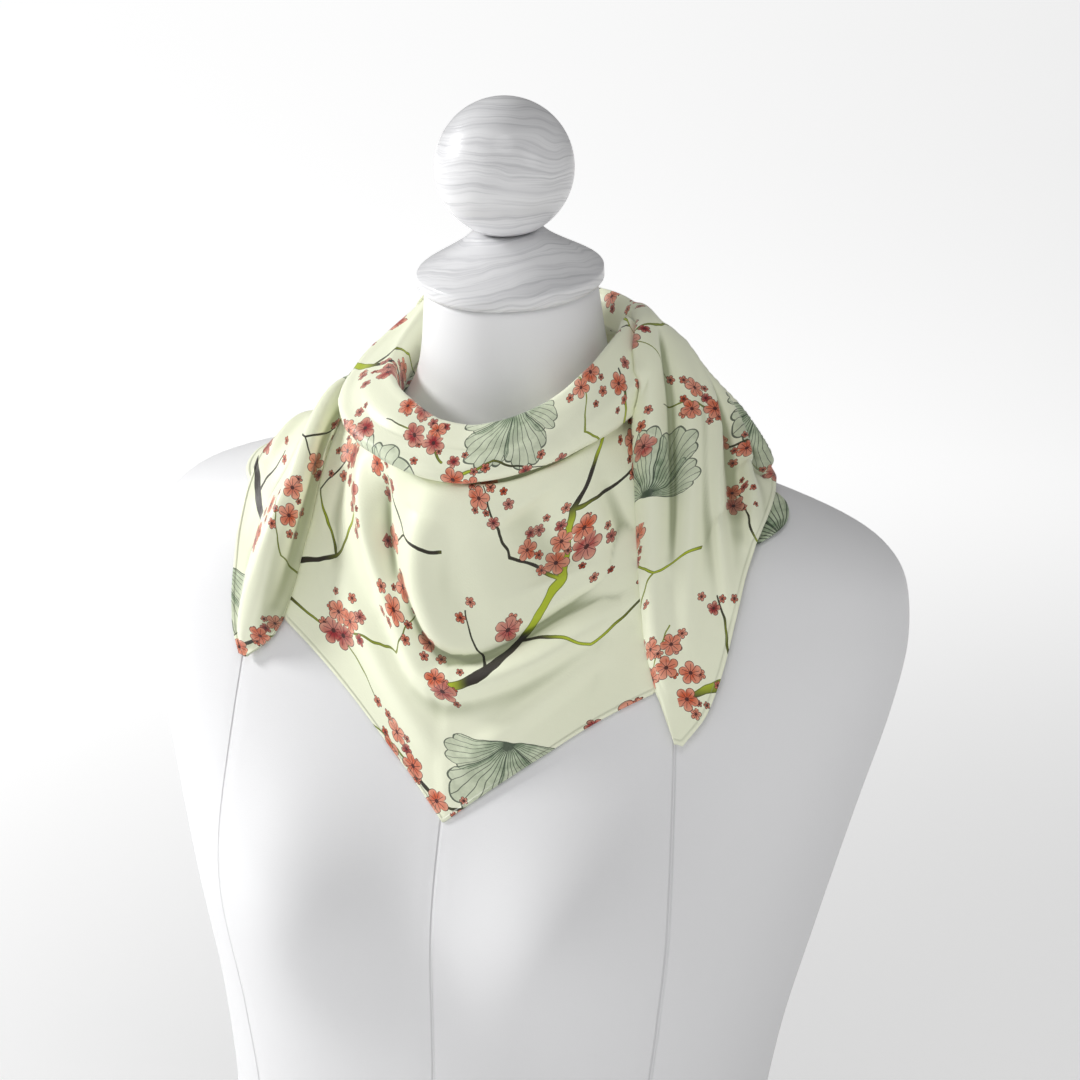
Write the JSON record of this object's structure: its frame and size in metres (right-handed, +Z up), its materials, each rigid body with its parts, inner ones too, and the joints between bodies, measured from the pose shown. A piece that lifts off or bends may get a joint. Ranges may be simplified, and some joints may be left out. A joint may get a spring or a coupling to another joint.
{
  "type": "silk square scarf on a dress form",
  "caption": "Silk square scarf folded corner to corner, worn point to the front round the neck of a limbless dress form with a turned cap and ball.",
  "frame": {"origin": "middle of the flat underside that the dress form stands on", "axes": "+Z up along the form, -Y out of its front, +X to the form's own left"},
  "size_m": [0.4458, 0.2274, 0.7164],
  "materials": {
    "form_skin": "smooth white satin cover",
    "painted_wood": "white paint over turned wood, gloss, with fine grain showing",
    "silk": "pale green printed silk satin, soft sheen"
  },
  "bodies": {
    "root": {"torso": "form_skin", "neck_cap": "painted_wood", "ball_finial": "painted_wood", "scarf_collar": "silk", "scarf_bib": "silk", "scarf_back": "silk", "scarf_right_end": "silk", "scarf_left_end": "silk"}
  },
  "joints": []
}
